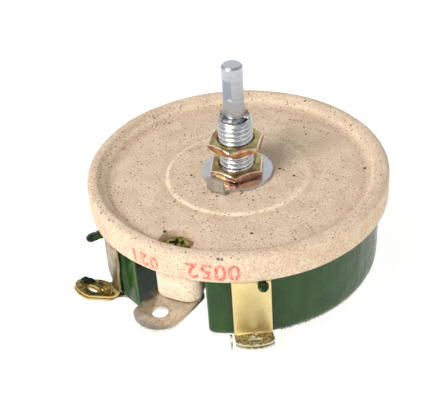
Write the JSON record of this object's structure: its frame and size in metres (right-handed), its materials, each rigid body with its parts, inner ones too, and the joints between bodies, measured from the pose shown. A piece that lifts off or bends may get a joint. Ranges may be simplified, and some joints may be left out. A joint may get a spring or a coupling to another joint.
{
  "type": "rheostat",
  "caption": "Power rheostat: a green enamelled wire-wound ring under a ceramic disc, swept by a brush on a control shaft in a threaded bushing with nuts.",
  "frame": {"origin": "on the shaft axis, at the seat of the locating washer on top of the ceramic base", "axes": "+Z along the control shaft towards the knob, -Y towards the boss of the slider terminal"},
  "size_m": [0.087, 0.0986, 0.068],
  "materials": {
    "base_ceramic": "matt porous",
    "green_enamel": "gloss",
    "resistance_wire": "satin",
    "tinned_steel": "satin",
    "stained_brass": "worn",
    "zinc_plate": "bright satin",
    "yellow_zinc": "iridescent",
    "strap_brass": "satin",
    "spring_steel": "satin",
    "white_steatite": "matt",
    "graphite": "burnished",
    "braid_copper": "satin"
  },
  "bodies": {
    "stator": {"ceramic_base": "base_ceramic", "resistance_ring": "green_enamel", "brush_track": "resistance_wire", "wire_tail": "resistance_wire", "slider_terminal": "tinned_steel", "slider_screw": "stained_brass", "screw_lock_washer": "zinc_plate", "screw_nut": "zinc_plate", "bushing": "zinc_plate", "locating_washer": "zinc_plate", "lower_nut": "yellow_zinc", "upper_nut": "yellow_zinc", "terminal_strap_left": "strap_brass", "terminal_strap_right": "strap_brass", "lug_eyelet_left": "strap_brass", "lug_eyelet_right": "strap_brass", "winding_tag_left": "green_enamel", "winding_tag_right": "green_enamel"},
    "rotor": {"control_shaft": "zinc_plate", "retaining_ring": "spring_steel", "slip_ring": "strap_brass", "contact_spring": "spring_steel", "rotor_hub": "white_steatite", "cross_pin": "spring_steel", "contact_arm": "spring_steel", "arm_screws": "zinc_plate", "brush_holder": "spring_steel", "contact_brush": "graphite", "brush_rivet": "braid_copper", "shunt_braid": "braid_copper"}
  },
  "joints": [
    {"name": "shaft_turn", "type": "hinge", "parent": "stator", "child": "rotor", "pos_m": [0, 0, 0], "axis": [0, 0, 1], "range_deg": [-122.54, 140.84]}
  ]
}
